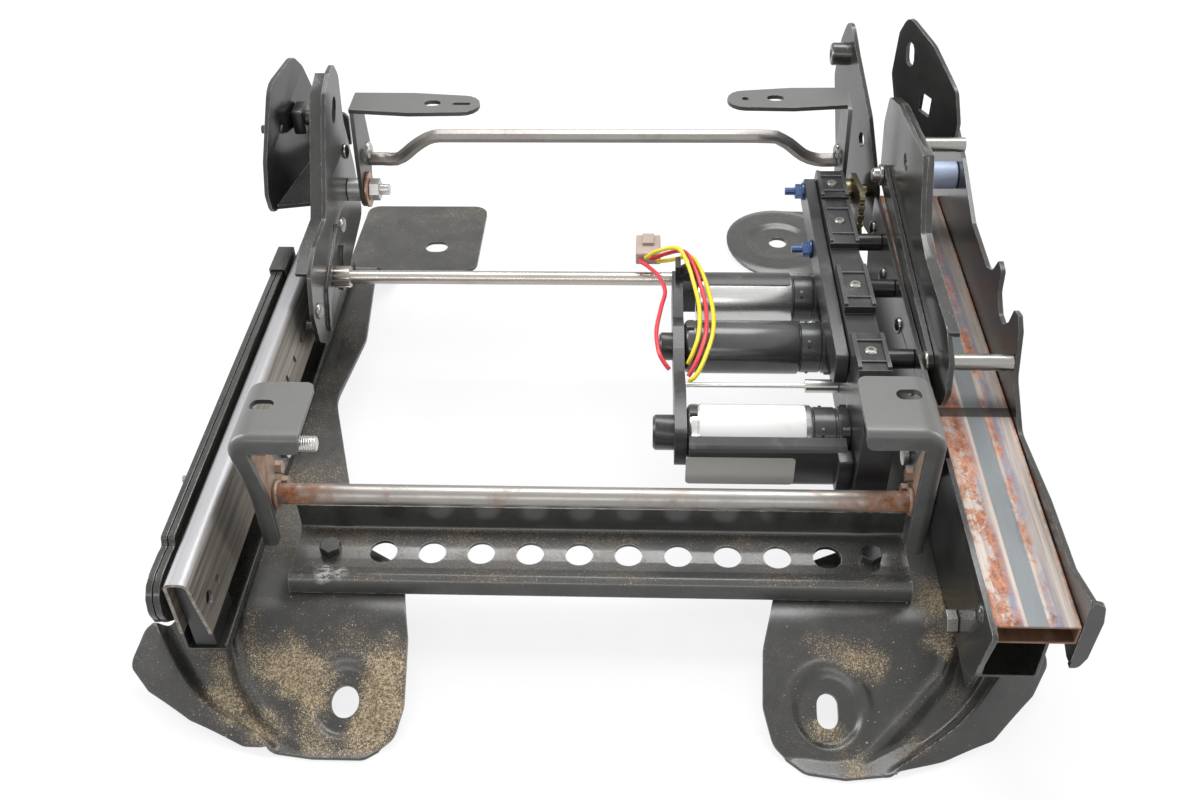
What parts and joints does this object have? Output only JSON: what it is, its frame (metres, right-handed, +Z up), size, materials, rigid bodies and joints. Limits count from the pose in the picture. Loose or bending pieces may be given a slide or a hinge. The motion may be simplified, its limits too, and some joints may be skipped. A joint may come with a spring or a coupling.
{
  "type": "powered seat track assembly",
  "caption": "Powered seat track with stamped floor bases, two slide rails, motor block, front torque tube lift and rear bar lift.",
  "frame": {"origin": "middle of the overall box at floor level, under the feet", "axes": "+X to the right across the seat, +Y to the rear along the rails, +Z up from the car's floor"},
  "size_m": [0.5106, 0.5599, 0.2154],
  "materials": {
    "bare_steel": "bare steel tube and bar with light rust",
    "beige_plastic": "beige connector shell",
    "black_coat": "satin black e-coat, dusty on the feet",
    "black_plastic": "moulded black plastic",
    "blue_nut": "blue nuts",
    "copper_wash": "copper-coloured washer",
    "gold_zinc": "yellow zinc plate",
    "grey_coat": "satin grey coat on the brackets and arms",
    "motor_can": "blackened steel motor cans",
    "pale_nylon": "pale blue nylon",
    "red_wire": "red wire insulation",
    "rusty_steel": "bare steel with orange surface rust",
    "yellow_wire": "yellow wire insulation",
    "zinc_steel": "galvanised and drawn steel, worn"
  },
  "bodies": {
    "lower_frame": {"left_base": "black_coat", "right_base": "black_coat", "cross_member": "black_coat", "cross_bolt_left": "black_coat", "cross_bolt_right": "black_coat", "left_lower_rail": "black_coat", "right_lower_rail": "black_coat", "guide_bar_inner": "black_coat", "guide_bar_outer": "black_coat", "bar_cap": "black_coat", "bar_pin": "bare_steel", "base_side_plate": "black_coat", "side_plate_bolt": "bare_steel"},
    "carriage": {"left_upper_rail": "zinc_steel", "left_glide_shoe": "black_plastic", "right_upper_tube": "rusty_steel", "right_glide_block": "black_plastic", "left_inner_bracket": "black_coat", "left_outer_bracket": "black_coat", "bracket_boss": "black_plastic", "right_inner_bracket": "black_coat", "right_outer_lobe": "black_coat", "carriage_plate": "black_coat", "lever_plate": "black_coat", "side_link": "black_coat", "outer_side_plate": "black_coat", "nylon_bush": "pale_nylon", "bush_pin": "zinc_steel", "lower_spacer": "zinc_steel", "upper_spacer": "zinc_steel", "gear_housing": "black_plastic", "housing_cover": "black_plastic", "housing_stud_rear": "blue_nut", "housing_stud_front": "blue_nut", "rear_motor": "motor_can", "middle_motor": "motor_can", "front_motor": "motor_can", "motor_yoke": "black_plastic", "motor_cradle": "black_plastic", "tie_rod": "zinc_steel", "left_front_pivot": "zinc_steel", "right_front_pivot": "zinc_steel", "rear_pivot_bolt": "zinc_steel", "pivot_washer": "copper_wash", "wire_connector": "beige_plastic", "wire_yellow_long": "yellow_wire", "wire_yellow_short": "yellow_wire", "wire_red_long": "red_wire", "wire_red_short": "red_wire"},
    "slide_shaft": {"cross_shaft": "zinc_steel"},
    "front_lift": {"torque_tube": "bare_steel", "left_front_bracket": "grey_coat", "right_front_bracket": "grey_coat", "left_crank": "rusty_steel", "right_crank": "rusty_steel", "front_stud": "zinc_steel"},
    "rear_lift": {"rear_bar": "bare_steel", "left_strap_arm": "grey_coat", "right_strap_arm": "grey_coat", "sector_gear": "gold_zinc"}
  },
  "joints": [
    {"name": "track_slide", "type": "slide", "parent": "lower_frame", "child": "carriage", "axis": [0, 1, 0], "range_m": [-0.09, 0.11]},
    {"name": "shaft_spin", "type": "hinge", "parent": "carriage", "child": "slide_shaft", "pos_m": [-0.0127, 0.054, 0.085], "axis": [1, 0, 0], "range_deg": [-700, 850]},
    {"name": "front_lift_turn", "type": "hinge", "parent": "carriage", "child": "front_lift", "pos_m": [0.0023, -0.123, 0.088], "axis": [-1, 0, 0], "range_deg": [0, 14]},
    {"name": "rear_lift_turn", "type": "hinge", "parent": "carriage", "child": "rear_lift", "pos_m": [0.0003, 0.131, 0.109], "axis": [1, 0, 0], "range_deg": [0, 12]}
  ],
  "couplings": [
    {"joint": "shaft_spin", "follows": "track_slide", "rad_per_m": 133.33}
  ]
}
